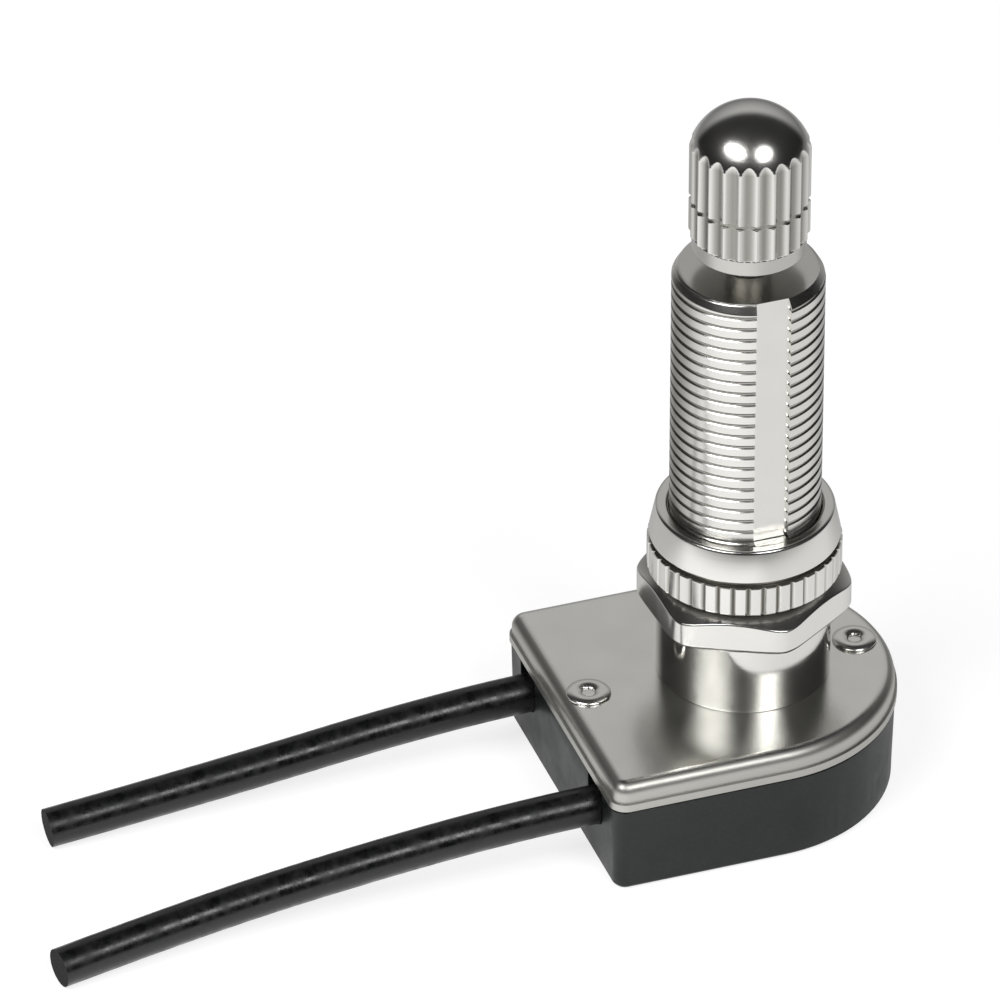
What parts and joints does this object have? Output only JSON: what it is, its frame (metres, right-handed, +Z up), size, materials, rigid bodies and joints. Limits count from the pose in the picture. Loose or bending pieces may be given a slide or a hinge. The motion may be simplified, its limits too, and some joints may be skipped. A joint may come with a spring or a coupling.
{
  "type": "rotary switch",
  "caption": "Rotary lamp switch with a fluted domed knob on a threaded bushing, hex and ring nuts, sheet-metal cover, black moulded base and short wire leads.",
  "frame": {"origin": "on the shaft axis, at the underside of the base, which is the surface that the switch stands on", "axes": "+Z up along the shaft towards the knob, -X towards the leads, +X towards the round end of the housing"},
  "size_m": [0.0576, 0.0208, 0.0495],
  "materials": {
    "polished_nickel": "polished nickel plate on turned brass",
    "satin_nickel": "satin nickel plate on drawn sheet",
    "rivet_nickel": "nickel plate on brass eyelets",
    "black_phenolic": "moulded black phenolic",
    "rotor_phenolic": "moulded brown phenolic",
    "grey_fibre": "pressed fibre sheet",
    "shaft_steel": "turned steel",
    "spring_steel": "bright spring steel",
    "spring_bronze": "phosphor bronze strip",
    "contact_brass": "bright stamped brass",
    "copper_strand": "bare stranded copper",
    "black_pvc": "extruded black PVC"
  },
  "bodies": {
    "housing": {"base": "black_phenolic", "cover_plate": "satin_nickel", "insulating_sheet": "grey_fibre", "rivet_lead_end": "rivet_nickel", "rivet_round_end": "rivet_nickel", "bushing": "polished_nickel", "detent_spring": "spring_bronze", "terminal_front": "contact_brass", "terminal_rear": "contact_brass", "conductor_front": "copper_strand", "conductor_rear": "copper_strand", "lead_front": "black_pvc", "lead_rear": "black_pvc"},
    "spindle": {"shaft": "shaft_steel", "knob": "polished_nickel", "rotor": "rotor_phenolic", "bridge_contact": "contact_brass", "thrust_washer": "spring_steel", "retaining_ring": "spring_steel"},
    "hex_nut": {"hex_nut": "polished_nickel"},
    "ring_nut": {"ring_nut": "polished_nickel"}
  },
  "joints": [
    {"name": "shaft_turn", "type": "hinge", "parent": "housing", "child": "spindle", "pos_m": [0, 0, 0.0395], "axis": [0, 0, 1], "continuous": true, "deforming": ["detent_spring"]},
    {"name": "hex_nut_travel", "type": "slide", "parent": "housing", "child": "hex_nut", "axis": [0, 0, 1], "range_m": [0, 0.008]},
    {"name": "ring_nut_travel", "type": "slide", "parent": "hex_nut", "child": "ring_nut", "axis": [0, 0, 1], "range_m": [0, 0.009]}
  ]
}
